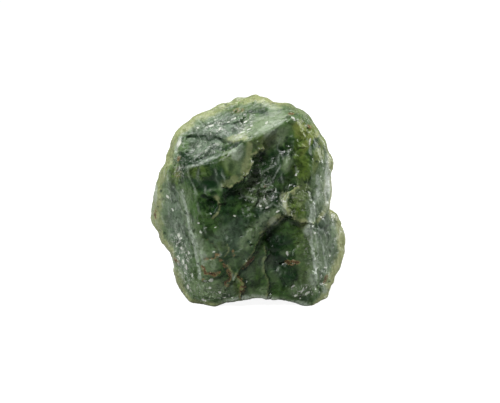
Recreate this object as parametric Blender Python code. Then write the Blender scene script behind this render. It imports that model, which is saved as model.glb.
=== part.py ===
# A raw lump of nephrite jade, broken on all sides and left unpolished.
# The stone is one piece. It is shaped in the order a stone gets its form: overlapping masses whose
# corners are worn round, scars where flakes broke away, and the uneven grain of the broken faces.
# X runs to the right, Y away from the front and Z up, in metres, with the origin under the stone's middle.

import math

import bmesh
import bpy
import numpy as np
from mathutils import Matrix, Vector, noise

MM = 0.001

# Driving sizes
STONE_MIDDLE = Vector((0.0, 0.0, 31.4)) * MM
TO_ORIGIN = Vector((-0.45, -0.75, 0.0)) * MM  # last move, which centres the finished stone
COARSE_GRID = 0.5 * MM  # spacing of the mesh in which the masses are worn round
FINE_GRID = 0.45 * MM  # spacing of the mesh that carries the scars and the grain
CORNER_WEAR = 14  # smoothing passes on the masses
SCAR_WEAR = 3  # smoothing passes on the scars
WALL_STEEPNESS = 3.2  # rise over run of a scar's broken wall
FINISHED_FACES = 9300
SWELL = 0.95 * MM  # height of the broad swells
SWELL_LENGTH = 14.0 * MM
BUMP = 0.42 * MM  # height of the rounded bumps between them
BUMP_LENGTH = 5.5 * MM
FLAKE_STEP = 0.26 * MM  # height of the small broken planes
FLAKE_LENGTH = 5.5 * MM
GRAIN = 0.1 * MM
GRAIN_LENGTH = 2.4 * MM
JADE_GREEN = (0.105, 0.15, 0.085, 1.0)

# Directions that the scars and hollows are seen from: azimuth from the front, height above level
VIEWS = {
    "front": (0.0, 18.0),
    "left": (-54.0, 4.0),
    "top": (-36.0, 56.0),
    "right": (61.0, 6.0),
    "back": (180.0, 12.0),
    "back left": (232.0, 8.0),
    "back right": (128.0, 10.0),
    "below": (0.0, -62.0),
}

# The masses, by the corners of each, in millimetres
MASSES = {
    "main lump": [
        # resting ring, a little below the ground before the underside is worn flat
        (-22, -10, -0.7), (-20, -18, -0.7), (-12, -21.5, -0.7), (22.6, -21, -0.7), (27.8, -13.5, -0.7),
        (29, -4, -0.7), (22, 13, -0.7), (6, 19, -0.7), (-14, 17, -0.7), (-23, 5, -0.7),
        # low ring
        (-24.8, -6, 3.5), (-27.2, -2, 11), (-14.3, -22, 11), (4, -23.5, 8), (24.8, -14, 14),
        (28.5, 4, 10), (24, 20, 12), (-2, 24.5, 12), (-24, 16, 12),
        # waist
        (-34.5, 1.5, 24.5), (-32.4, 1, 19.6), (-33.3, 1, 32), (-17.2, -20.8, 27), (6, -22.8, 22),
        (23, -13.5, 29.6),
        (28.4, -2, 31.8), (27, 14, 30), (4, 25, 32), (-24.5, 17, 30),
        # shoulder
        (-31.2, 0, 39.7), (-20.4, -15.6, 47.4), (-10.4, -17.2, 52.2), (0.4, -15.2, 56.2),
        (24.6, -10.4, 45.2), (29.2, -2, 44.8), (28.3, 0, 51), (20.5, 17.5, 48), (-4, 22.5, 52),
        (-22.5, 15.5, 46.3),
        # crown
        (-26.5, -0.5, 49.4), (-25.2, 3, 55.6), (-19.2, 8, 60.2), (-11.9, 12, 62.8), (-4.8, 14.3, 65.3),
        (1.4, 14.3, 66), (7.2, 13.3, 64), (14.2, 8, 64.2), (20.4, 4, 61.8), (24.5, 2, 56.8),
        (16.6, -7.4, 63.8), (8.3, -12.6, 60.6),
    ],
    "right buttress": [
        (14.5, -14.8, 50), (14, -17.8, 41), (12.2, -19.9, 34), (12.6, -20.6, 28), (16.5, -19.8, 25.2),
        (22.4, -16, 25.2), (16.4, -8.4, 62), (22, -6.6, 58), (26.5, -4, 51), (26, -10.4, 44),
        (25, -12.4, 34), (20, 0, 28), (20, 4, 40), (18, 2, 58),
    ],
    "right lobe": [
        (27, -9, -0.4), (31, 0, 0.6), (29, 12, 0.4), (18, 10, -0.4),
        (34.4, 5, 6.8), (34.9, 6, 14.5), (29.5, 16.5, 12),
        (33.3, 6, 22), (31.5, 5, 25.2), (29, 4, 27.6), (24, 15.5, 27), (20, 0, 24),
        (27, -7.5, 14), (26, -5.5, 25),
    ],
}

# Flake scars: the view, the outline in that view in millimetres (right, up) from the stone's middle,
# then the depth of the floor at the first point (nearer is negative) and its slope to the right and up
SCARS = {
    "under the shelf": {
        "view": "front",
        "outline": [
            (-1.3, 6.3), (-1.1, 7.3), (0.5, 8.8), (1.2, 11.3), (2.2, 12.6), (1.5, 13.6), (1.9, 14.4),
            (3.9, 16.2), (5.6, 16.8), (7.5, 20), (11, 24), (17, 21), (18, 10), (16.7, 4.5), (14.3, 2.9),
            (12.4, 1.7), (6, 3.4),
        ],
        "floor": (-15.2, -0.09, -0.21),
        "ragged": 0.25,
    },
    "central floor": {
        "view": "front",
        "outline": [
            (-1.3, 6.3), (-3.5, 5.6), (-4.7, 4.5), (-6.3, 3.7), (-8.2, 2), (-8, -2),
            (-2.6, -4.8), (6, -4.5), (13.6, -5.3), (12.3, -2.3), (11.6, -0.9), (11.4, 0.6), (12.3, 1.3),
            (12.6, 3.4), (5, 6.9), (0.5, 8.9), (-1.1, 7.3),
        ],
        "floor": (-16.9, 0.12, 0.25),
        "ragged": 0.2,
    },
    "top dish": {
        "view": "top",
        "outline": [
            (-16.5, 3), (-13.6, 3.8), (-9.4, 4.1), (-5.6, 3.7), (-1.8, 3.7), (2.2, 3.3), (5.1, 3.4),
            (6.5, 1), (5, -2.5), (2, -6), (-3, -9), (-8, -9), (-13, -6), (-16, -2),
        ],
        "floor": (-26.2, -0.02, 0.1),
        "ragged": 0.35,
    },
    "lower right face": {
        "view": "front",
        "outline": [
            (11.7, -5), (9.7, -7.7), (6.7, -9.9), (5, -12.1), (6.2, -15.5), (6.8, -18.6), (5.8, -20.2),
            (6.1, -22.1), (5.8, -23.6), (6.8, -26.1), (7.5, -27.7), (7.4, -30.6), (6.8, -33), (6.8, -45),
            (34, -45), (30, -9), (21.8, -8), (18.1, -7.5), (16.1, -6.9), (13.6, -5.3),
        ],
        "floor": (-15.9, 0.03, -0.17),
        "ragged": 0.2,
    },
    "lower centre lobe": {
        "view": "front",
        "outline": [
            (5, -12.1), (3.1, -15.1), (2.8, -16.6), (0.9, -19.5), (-1.6, -22.5), (-3.4, -25.4),
            (-1.5, -27.8), (-0.9, -29.5), (-1.9, -31.2), (-2.2, -33.2), (-2.5, -45), (9, -45), (9, -16),
        ],
        "floor": (-17.3, 0.04, -0.24),
        "ragged": 0.2,
    },
    "left pit": {
        "view": "front",
        "outline": [
            (-16, 1.8), (-14, 2.2), (-12.2, 1.4), (-10.9, 0.2), (-10.4, -1.6), (-10.9, -3.4), (-12.6, -4.3),
            (-15, -4), (-17.2, -2), (-17.2, 0.6),
        ],
        "floor": (-19.2, 0.5, 0.12),
        "ragged": 0.15,
    },
    "upper back": {
        "view": "back",
        "outline": [(-17, 4), (-11, 0.5), (-3, 1), (3, -2), (9, 0), (13, 8), (11, 17), (2, 24), (-14, 22)],
        "floor": (-22.6, 0.05, -0.05),
        "ragged": 0.6,
    },
    "lower back": {
        "view": "back",
        "outline": [(2, -8), (8, -5), (13, -7), (18, -4), (26, -8), (28, -38), (4, -38), (2, -24), (-1, -16)],
        "floor": (-20.8, 0.08, -0.1),
        "ragged": 0.6,
    },
    "back left shoulder": {
        "view": "back left",
        "outline": [(-9, 10), (-4, 6), (2, 7.5), (7, 4), (12, 7), (12, 18), (2, 21), (-10, 18)],
        "floor": (-27.0, -0.04, -0.02),
        "ragged": 0.6,
    },
    "back right flank": {
        "view": "back right",
        "outline": [(-16, 0), (-9, -3), (-3, 1), (4, 0), (7, 6), (6, 14), (-2, 20), (-12, 16)],
        "floor": (-27.4, 0.08, 0.02),
        "ragged": 0.5,
    },
}

# Hollows (inward) and lumps (outward): view, middle (right, up), half width and half height, turn in
# degrees, depth, all in millimetres
HOLLOWS = [
    ("front", (8.5, 17), (8, 6), 35, 2.6),
    ("front", (-11.5, 6.5), (4.5, 3), -20, 1.1),
    ("front", (12, 2.6), (1.6, 1.3), 0, 0.9),
    ("front", (8, -9.5), (5, 3), 40, 1.0),
    ("front", (-3, -1.5), (7, 3.5), 0, 0.7),
    ("front", (12.8, 8), (2.4, 2.2), 0, -1.3),
    ("front", (15.5, -20), (8, 9), 0, -0.9),
    ("front", (18.5, -1), (4, 4.5), 0, -0.4),
    ("front", (20, 12), (4, 9), 10, -0.4),
    ("front", (-6.5, 10), (5, 4), 20, -0.6),
    ("front", (-10, -21), (5, 10), 0, -0.5),
    ("front", (24.5, -14), (1.6, 10), 0, 0.9),
    ("top", (-9, -3), (8.5, 5.5), 15, 0.9),
    ("top", (-11.5, -10.5), (3.2, 2.4), 0, 0.9),
    ("top", (0, 13), (4, 9), -15, 0.7),
    ("top", (9.5, 12), (2.5, 9), -15, -0.4),
    ("left", (0, -4), (7, 16), 0, 0.7),
    ("left", (-15, -21.5), (4.5, 3.8), 0, 2.4),
    ("left", (-14.5, -6), (2.2, 12), 5, -0.5),
    ("right", (0, 8), (7, 7), 0, 0.8),
    ("right", (6, -18), (7, 8), 0, 0.7),
    ("back", (-12, -14), (9, 8), 20, 1.5),
    ("back", (-4, 14), (8, 7), 0, 1.2),
    ("back left", (-2, -12), (8, 9), 30, 1.4),
    ("back right", (2, -18), (8, 7), 0, 1.0),
]

# The rise between the two front feet: middle and half sizes, in millimetres
UNDER_RISE = {"middle": (4.0, -27.0, -4.6), "half": (19.5, 21.0, 7.8)}


def turn_to(view):
    """Rotation from (right, away, up) as seen in a view to the stone's own axes."""
    azimuth, height = VIEWS[view]
    return Matrix.Rotation(math.radians(azimuth), 3, "Z") @ Matrix.Rotation(math.radians(-height), 3, "X")


def polyhedron(name, corners):
    """One convex mass through the given corners."""
    shape = bmesh.new()
    for corner in corners:
        shape.verts.new(Vector(corner) * MM)
    hull = bmesh.ops.convex_hull(shape, input=shape.verts)
    inner = [item for item in hull["geom_interior"] if isinstance(item, bmesh.types.BMVert)]
    bmesh.ops.delete(shape, geom=inner, context="VERTS")
    bmesh.ops.recalc_face_normals(shape, faces=shape.faces)
    mesh = bpy.data.meshes.new(name)
    shape.to_mesh(mesh)
    shape.free()
    solid = bpy.data.objects.new(name, mesh)
    bpy.context.scene.collection.objects.link(solid)
    return solid


def settle(solid):
    """The object's modifiers applied."""
    graph = bpy.context.evaluated_depsgraph_get()
    mesh = bpy.data.meshes.new_from_object(solid.evaluated_get(graph))
    solid.modifiers.clear()
    solid.data = mesh


def join_mass(stone, other):
    boolean = stone.modifiers.new("join", "BOOLEAN")
    boolean.operation = "UNION"
    boolean.solver = "EXACT"
    boolean.object = other
    settle(stone)
    bpy.data.objects.remove(other)


def in_order(mesh):
    """The same mesh with its corners and faces in a fixed order."""
    points = read_points(mesh)
    keys = np.round(points / (0.001 * MM)).astype(np.int64)
    order = np.lexsort((keys[:, 0], keys[:, 1], keys[:, 2]))
    place = np.empty(len(order), dtype=np.int64)
    place[order] = np.arange(len(order))
    faces = []
    for polygon in mesh.polygons:
        corners = [int(place[index]) for index in polygon.vertices]
        first = corners.index(min(corners))
        faces.append(tuple(corners[first:] + corners[:first]))
    faces.sort()
    ordered = bpy.data.meshes.new(mesh.name)
    ordered.from_pydata([tuple(point) for point in points[order].tolist()], [], faces)
    ordered.update()
    return ordered


def fuse_and_wear(stone, grid, passes):
    """One even skin over the whole stone, with its corners worn."""
    remesh = stone.modifiers.new("fuse", "REMESH")
    remesh.mode = "VOXEL"
    remesh.voxel_size = grid
    settle(stone)
    stone.data = in_order(stone.data)
    smooth = stone.modifiers.new("wear", "SMOOTH")
    smooth.factor = 0.5
    smooth.iterations = passes
    settle(stone)


def read_points(mesh):
    flat = np.empty(len(mesh.vertices) * 3)
    mesh.vertices.foreach_get("co", flat)
    return flat.reshape(-1, 3)


def write_points(mesh, points):
    mesh.vertices.foreach_set("co", points.ravel())
    mesh.update()


def ragged_outline(outline, amount, seed):
    """The outline in short steps, each moved a little to the side."""
    points = []
    for i, start in enumerate(outline):
        end = outline[(i + 1) % len(outline)]
        steps = max(1, round(math.dist(start, end) / 1.6))
        for k in range(steps):
            part = k / steps
            right = start[0] + (end[0] - start[0]) * part
            up = start[1] + (end[1] - start[1]) * part
            shift = noise.noise_vector(Vector((right * 0.9, up * 0.9, seed * 7.7)))
            points.append((right + shift.x * amount * 2, up + shift.y * amount * 2))
    return points


def inside(outline, right, up):
    """Which of the places lie within a closed outline."""
    within = np.zeros(len(right), dtype=bool)
    for i, (right_a, up_a) in enumerate(outline):
        right_b, up_b = outline[(i + 1) % len(outline)]
        if up_a == up_b:
            continue
        spans = (up_a > up) != (up_b > up)
        crossing = right_a + (up - up_a) * (right_b - right_a) / (up_b - up_a)
        within ^= spans & (right < crossing)
    return within


def outline_distance(outline, right, up):
    """Distance from each place to the nearest point of a closed outline."""
    nearest = np.full(len(right), 1000.0)
    for i, (right_a, up_a) in enumerate(outline):
        right_b, up_b = outline[(i + 1) % len(outline)]
        along_right, along_up = right_b - right_a, up_b - up_a
        length = along_right ** 2 + along_up ** 2 + 1e-9
        part = np.clip(((right - right_a) * along_right + (up - up_a) * along_up) / length, 0.0, 1.0)
        away = np.hypot(right - right_a - part * along_right, up - up_a - part * along_up)
        nearest = np.minimum(nearest, away)
    return nearest


def break_flake(stone, scar, seed):
    """Everything in front of the scar's sloping floor, within its outline, is broken away."""
    turn = np.array(turn_to(scar["view"]))
    middle = np.array(STONE_MIDDLE)
    points = read_points(stone.data)
    seen = (points - middle) @ turn / MM
    outline = ragged_outline(scar["outline"], scar["ragged"], seed)
    depth, slope_right, slope_up = scar["floor"]
    first = scar["outline"][0]
    floor = depth + slope_right * (seen[:, 0] - first[0]) + slope_up * (seen[:, 2] - first[1])
    wall = seen[:, 1] + WALL_STEEPNESS * outline_distance(outline, seen[:, 0], seen[:, 2])
    gone = inside(outline, seen[:, 0], seen[:, 2]) & (seen[:, 1] < floor)
    seen[gone, 1] = np.minimum(floor, wall)[gone]
    points[gone] = seen[gone] @ turn.T * MM + middle
    write_points(stone.data, points)


def hollow_underside(stone, rise):
    """The underside lifted off the ground between the front feet."""
    points = read_points(stone.data)
    away = (points / MM - np.array(rise["middle"])) / np.array(rise["half"])
    level = 1.0 - away[:, 0] ** 2 - away[:, 1] ** 2
    roof = np.sqrt(np.clip(level, 0.0, None)) * rise["half"][2] + rise["middle"][2]
    under = (level > 0) & (points[:, 2] / MM < roof)
    points[under, 2] = roof[under] * MM
    write_points(stone.data, points)


def flake_height(point, length, seed):
    """Height of a broken surface made of small tilted planes, between about -1 and 1."""
    spot = point / length + Vector((seed, seed * 1.7, -seed))
    bend = noise.noise_vector(spot * 1.3) * 0.35
    distances, middles = noise.voronoi(spot + bend)
    middle = middles[0]
    tilt = noise.noise_vector(middle * 5.1)
    return (spot + bend - middle).dot(tilt) * 1.9 + noise.noise(middle * 3.7) * 0.7


def hollow_depth(point, normal, hollow):
    view, middle, half, turned, depth = hollow
    toward = turn_to_cache[view].transposed() @ normal
    if toward.y > -0.15:
        return 0.0
    seen = turn_to_cache[view].transposed() @ (point - STONE_MIDDLE) / MM
    right = seen.x - middle[0]
    up = seen.z - middle[1]
    angle = math.radians(turned)
    along = (right * math.cos(angle) + up * math.sin(angle)) / half[0]
    across = (up * math.cos(angle) - right * math.sin(angle)) / half[1]
    reach = along * along + across * across
    if reach > 4.0:
        return 0.0
    return depth * MM * math.exp(-reach * 1.2) * min(1.0, (-toward.y - 0.15) * 4)


def roughen(stone):
    """Hollows and lumps, broad swells, small broken planes and grain, all along the surface's normal."""
    mesh = stone.data
    moves = []
    for vertex in mesh.vertices:
        point = vertex.co.copy()
        normal = vertex.normal.copy()
        height = 0.0
        for hollow in HOLLOWS:
            height -= hollow_depth(point, normal, hollow)
        height += SWELL * noise.noise(point / SWELL_LENGTH + Vector((3.1, 0.4, 8.2)))
        height += BUMP * noise.noise(point / BUMP_LENGTH + Vector((0.7, 5.2, 1.9)))
        rough = 0.55 + 0.9 * noise.noise(point / (9 * MM) + Vector((1.5, 9.1, 2.2)))
        rough = max(0.15, min(1.0, rough))
        height += FLAKE_STEP * rough * flake_height(point, FLAKE_LENGTH, 2.0)
        height += FLAKE_STEP * rough * 0.4 * flake_height(point, FLAKE_LENGTH * 0.45, 6.0)
        ridge = 1.0 - 2.0 * abs(noise.noise(point / GRAIN_LENGTH))
        height += GRAIN * (ridge - 0.4) * rough
        if normal.z < -0.7:
            height *= 0.25
        moves.append(point + normal * height)
    for vertex, moved in zip(mesh.vertices, moves):
        vertex.co = moved


def thin_out(stone, faces):
    decimate = stone.modifiers.new("fewer faces", "DECIMATE")
    decimate.ratio = faces / (2 * len(stone.data.polygons))
    settle(stone)


def flatten_underside(stone):
    """The stone rests on one flat worn patch at its lowest level."""
    shape = bmesh.new()
    shape.from_mesh(stone.data)
    everything = shape.verts[:] + shape.edges[:] + shape.faces[:]
    cut = bmesh.ops.bisect_plane(
        shape, geom=everything, dist=0.00001, plane_co=(0, 0, 0), plane_no=(0, 0, -1), clear_outer=True
    )
    rim = [item for item in cut["geom_cut"] if isinstance(item, bmesh.types.BMEdge)]
    bmesh.ops.holes_fill(shape, edges=rim, sides=0)
    bmesh.ops.triangulate(shape, faces=shape.faces)
    bmesh.ops.recalc_face_normals(shape, faces=shape.faces)
    shape.to_mesh(stone.data)
    shape.free()


noise.seed_set(11)
turn_to_cache = {view: turn_to(view) for view in VIEWS}


def jade():
    material = bpy.data.materials.new("jade")
    material.diffuse_color = JADE_GREEN
    return material


def main():
    for old in list(bpy.data.objects):
        bpy.data.objects.remove(old)
    names = list(MASSES)
    stone = polyhedron("jade_boulder", MASSES[names[0]])
    for name in names[1:]:
        join_mass(stone, polyhedron(name, MASSES[name]))
    fuse_and_wear(stone, COARSE_GRID, CORNER_WEAR)
    for seed, scar in enumerate(SCARS.values()):
        break_flake(stone, scar, seed)
    hollow_underside(stone, UNDER_RISE)
    fuse_and_wear(stone, FINE_GRID, SCAR_WEAR)
    roughen(stone)
    thin_out(stone, FINISHED_FACES)
    flatten_underside(stone)
    stone.data.transform(Matrix.Translation(TO_ORIGIN))
    stone.data.materials.append(jade())


main()
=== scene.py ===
# Raw jade boulder: the broken, waxy skin over the CAD stone, its colours, and the small white studio.
# Lengths are in millimetres in the tables below and in metres on the objects.
import math

import bpy
import numpy as np
from mathutils import Matrix, Vector, noise
from mathutils.kdtree import KDTree


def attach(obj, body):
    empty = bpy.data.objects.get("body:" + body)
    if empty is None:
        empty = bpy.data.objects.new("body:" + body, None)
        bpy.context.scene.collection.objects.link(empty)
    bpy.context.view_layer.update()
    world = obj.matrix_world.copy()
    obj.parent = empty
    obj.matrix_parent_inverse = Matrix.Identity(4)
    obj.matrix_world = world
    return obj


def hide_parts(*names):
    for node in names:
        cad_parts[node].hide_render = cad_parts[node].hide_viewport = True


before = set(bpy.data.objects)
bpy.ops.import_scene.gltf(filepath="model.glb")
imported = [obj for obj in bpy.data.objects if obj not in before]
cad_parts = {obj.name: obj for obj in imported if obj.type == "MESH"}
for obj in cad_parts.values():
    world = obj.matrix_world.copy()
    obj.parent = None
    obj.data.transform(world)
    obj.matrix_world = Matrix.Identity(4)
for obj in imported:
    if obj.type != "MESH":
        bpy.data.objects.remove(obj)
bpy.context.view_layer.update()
noise.seed_set(11)  # so that noise_vector gives the same values each run
mm = 0.001

# The stone is described as seen from a few sides: (turn from the front, height above level) in degrees.
# A place is then (right, up) from the stone's middle.
sides = {
    "front": (0, 18),
    "left": (-54, 4),
    "top": (-36, 56),
    "right": (61, 6),
    "back": (180, 12),
    "backLeft": (232, 8),
    "backRight": (128, 10),
}
stoneMiddle = (-0.45, -0.75, 31.4)

stone = {
    "grid": 0.435,  # spacing of the skin
    "softening": 4,  # passes that take the CAD facets away
    "wearing": 30,  # passes that smooth the worn zones
    "sharpAngle": 38,  # edges sharper than this, in degrees, stay crisp
    "lipSpread": 0.9,  # how far a ledge's lip and crack reach across
    "crackSpread": 0.7,
    "waver": 1.7,  # keeps lines and patches from being smooth
    "fineWaver": 0.9,
    "hackle": 0.62,  # height of the small broken planes
    "hackleLength": 3.2,
    "grain": 0.24,  # the same, finer
    "grainLength": 1.25,
    "striation": 0.16,  # fine lines down the left face
    "scallop": 0.7,  # waves of the thin edges
    "scallopLength": 4.2,
    "deepGreen": (0.009, 0.037, 0.010, 1),
    "midGreen": (0.060, 0.130, 0.027, 1),
    "greyGreen": (0.138, 0.195, 0.128, 1),
    "olive": (0.110, 0.175, 0.025, 1),
    "mist": (0.235, 0.325, 0.170, 1),
    "moss": (0.230, 0.285, 0.065, 1),
    "creamAndGlow": (0.400, 0.440, 0.200, 1),
    "sheen": (0.520, 0.600, 0.500, 1),
    "rust": (0.085, 0.046, 0.018, 1),
    "tan": (0.360, 0.250, 0.110, 1),  # the soft edge of a rust stain
    "frost": (0.700, 0.730, 0.640, 1),
    "roughness": 0.28,
    "ior": 1.61,
    "gloss": 0.34,
    "inside": 0.2,  # share of light that passes through the thin stone
    "insideDepth": 0.003,
    "crackleScale": 420,  # fine white veins among the white flecks
    "crackleWarp": 0.004,
    "pitting": 0.5,  # strength of the grain too fine for the mesh
    "pittingHeight": 0.0005,
}

# Broken edges on the front, each as a line
ledges = {
    "shelf": [
        (5.6, 16.8), (3.9, 16.2), (1.9, 14.4), (1.5, 13.6), (2.2, 12.6), (1.2, 11.3), (0.5, 8.8),
        (-1.1, 7.3), (-1.3, 6.3), (-3.5, 5.6), (-4.7, 4.5), (-6.3, 3.7), (-8.0, 4.4),
    ],
    "buttress": [
        (16.7, 4.5), (14.5, 3.1), (12.6, 2.6), (12.3, 1.3), (11.4, 0.6), (11.6, -0.9), (12.3, -2.3),
        (13.6, -5.3), (16.1, -6.9), (18.1, -7.5), (21.8, -8),
    ],
    "slab": [
        (13.6, -5.3), (11.7, -5), (9.7, -7.7), (6.7, -9.9), (5, -12.1), (3.1, -15.1), (2.8, -16.6),
        (0.9, -19.5), (-1.6, -22.5), (-3.4, -25.4),
    ],
    "centreLobe": [
        (6.2, -15.5), (6.8, -18.6), (5.8, -20.2), (6.1, -22.1), (5.8, -23.6), (6.8, -26.1),
        (7.5, -27.7), (7.4, -30.6), (6.8, -33),
    ],
    "footLobe": [(-3.4, -25.4), (-1.5, -27.8), (-0.9, -29.5), (-1.9, -31.2), (-2.2, -33.2)],
}
# Low side (1 left of the line's own direction, -1 right), lip height, crack depth,
# how pale the lip is (cream crumbs and a painted highlight on the lip), how brown the crack is, lip width
ledgeLook = {
    "shelf": (1, 0.30, 0.35, 0.9, 0.0, 1.7),
    "buttress": (-1, 0.35, 0.35, 1.0, 0.1, 1.7),
    "slab": (1, 0.10, 0.32, 0.45, 0.12, 0.7),
    "centreLobe": (1, 0.12, 0.15, 0.45, 0.1, 1.2),
    "footLobe": (1, 0.20, 0.25, 0.5, 0.5, 1.5),
}

# Cracks and small steps: side, line, width, depth, brown
cracks = [
    ("front", [(-14.3, -12.5), (-11.5, -14.2), (-10, -16.8), (-9.2, -18)], 0.5, 0.25, 0.2),
    ("front", [(-9.2, -18), (-12, -19.4), (-14.5, -19.8)], 0.5, 0.25, 0.4),
    ("front", [(-9.6, -20.2), (-7.6, -22.0), (-6.4, -24.4), (-5.6, -26.4), (-7.4, -28.6)], 0.5, 0.3, 0.65),
    ("front", [(-15.8, -22.2), (-14, -24.6), (-11.2, -25.2), (-9.4, -24.2)], 0.5, 0.3, 0.7),
    ("top", [
        (-17.3, -1.2), (-16.2, 2.8), (-13.6, 3.8), (-9.4, 4.1), (-5.6, 3.7), (-1.8, 3.7), (2.2, 3.3),
    ], 0.9, 0.45, 0.0),
    ("top", [(-3.4, -0.4), (-0.8, 0.8), (2.6, 1.7), (5.2, 3.6)], 1.1, 0.6, 0.0),
    ("top", [(-7.6, -7.6), (-5.7, -5.9), (-3.6, -5.2), (-2.0, -3.2)], 0.8, 0.45, 0.0),
    ("top", [(1.0, 19.0), (3.4, 19.8), (5.0, 20.6)], 0.6, 0.35, 0.0),
    ("top", [(-6.5, 9.8), (-3.2, 11.2), (-0.5, 11.0)], 0.6, 0.3, 0.0),
    ("front", [(-20.5, 22.2), (-17.5, 21.9), (-14.8, 21.2), (-12.7, 20.5)], 0.36, 0.55, 0.0),
    ("front", [(-11.0, 21.4), (-9.4, 20.5), (-7.4, 19.5)], 0.34, 0.5, 0.0),
    ("front", [(-8.6, 16.8), (-5.6, 17.3), (-3.6, 18.3), (-2.4, 19.1)], 0.42, 0.6, 0.0),
    ("front", [(-17.0, 13.4), (-14.4, 14.2), (-13.2, 15.6), (-12.4, 16.6)], 0.4, 0.6, 0.0),
    ("front", [(-4.5, 26.0), (-3.0, 26.6), (-1.2, 26.7)], 0.3, 0.5, 0.0),
    ("right", [(-1.2, 4), (-0.4, -3.6), (-1.6, -9)], 0.5, 0.2, 0.0),
    ("right", [(1, -8), (5.5, -12), (7.4, -17), (6.2, -22), (3.8, -26)], 0.8, 0.3, 0.0),
    ("back", [(-17, 4), (-11, 0.5), (-3, 1), (3, -2), (9, 0), (13, 8), (11, 17)], 0.7, 0.3, 0.1),
    ("back", [(4, -38), (2, -24), (-1, -16), (2, -8), (8, -5), (13, -7)], 0.7, 0.3, 0.3),
    ("backLeft", [(-9, 10), (-4, 6), (2, 7.5), (7, 4), (12, 7)], 0.6, 0.3, 0.1),
    ("backRight", [(-16, 0), (-9, -3), (-3, 1), (4, 0), (7, 6)], 0.6, 0.3, 0.1),
]

# Small dents and knobs: side, middle, half width and height, turn, depth
dents = [
    ("top", (-14.8, -5.6), (1.2, 1.0), 0, 0.5),
    ("top", (-8.5, -1.5), (2.6, 1.8), 30, 0.35),
    ("left", (-4.0, -10.8), (0.9, 0.7), 0, 0.35),
    ("left", (-10, 3), (1.4, 3.0), 10, 0.25),
    ("left", (-10.5, -23.0), (3.6, 3.4), 0, 1.9),
    ("backRight", (2.4, 30.3), (2.6, 1.8), 0, 1.0),
    ("backRight", (-3.2, 29.4), (1.8, 1.6), 0, -0.5),
    ("front", (13.4, 12.0), (1.6, 2.4), -12, -1.4),
    ("front", (-11.2, -0.9), (1.5, 2.0), -25, 0.9),
    ("top", (1.0, 0.6), (2.6, 1.1), 20, 0.5),
    ("front", (-14.8, 8.0), (3.2, 1.4), 0, -0.6),
    ("front", (-14.1, 3.9), (3.2, 1.5), 0, 0.6),
    ("front", (12.2, 2.4), (1.2, 0.9), 0, 0.6),
    ("front", (-10.3, -0.8), (1.0, 2.2), -20, -0.35),
    ("front", (2.2, 3.0), (1.3, 1.0), 10, -0.3),
    ("front", (7.4, -1.5), (1.6, 1.0), 25, -0.35),
    ("front", (4.0, 1.2), (1.2, 0.8), -20, 0.3),
    ("front", (16.6, 13.5), (0.9, 2.2), 5, -0.3),
    ("front", (19.6, 8.2), (1.0, 1.6), 5, 0.25),
]

# Places worn soft before the relief is cut: side, middle, half width and height, turn
wornZones = [
    ("front", (-15.5, 7.6), (5.6, 4.6), 0),
    ("front", (-17.8, 0.5), (2.6, 5.0), -12),
]

# How broken the surface is: side, middle, half width and height, turn, share of the full relief
roughZones = [
    ("front", (-11.4, 23.6), (11.6, 6.8), 15, 0.6),
    ("front", (4.5, 26.3), (10.2, 3.1), 27, 0.15),
    ("front", (4.5, 3.2), (8.2, 6.1), 0, 1.3),
    ("front", (-8.0, 11.7), (7.5, 4.1), 0, 0.2),
    ("front", (-13.0, 5.5), (7.0, 5.5), 0, 0.15),
    ("front", (24.9, 10.0), (3.1, 11.9), 0, 0.15),
    ("front", (27.6, -15.5), (4.8, 13.6), 0, 0.25),
    ("front", (-26.6, -5.3), (5.4, 17.0), 0, 0.5),
    ("front", (-8.0, -13.8), (8.8, 6.8), 40, 0.35),
    ("front", (13.4, -18.9), (6.8, 11.9), 0, 0.7),
    ("front", (-13.1, -29.1), (8.5, 5.4), 0, 0.9),
    ("front", (1.8, -25.7), (3.1, 6.8), 0, 0.4),
    ("front", (18.4, 18.5), (4.1, 10.2), 0, 0.6),
    ("front", (9.4, 12.5), (4.6, 6.5), 0, 0.2),
]

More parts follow.
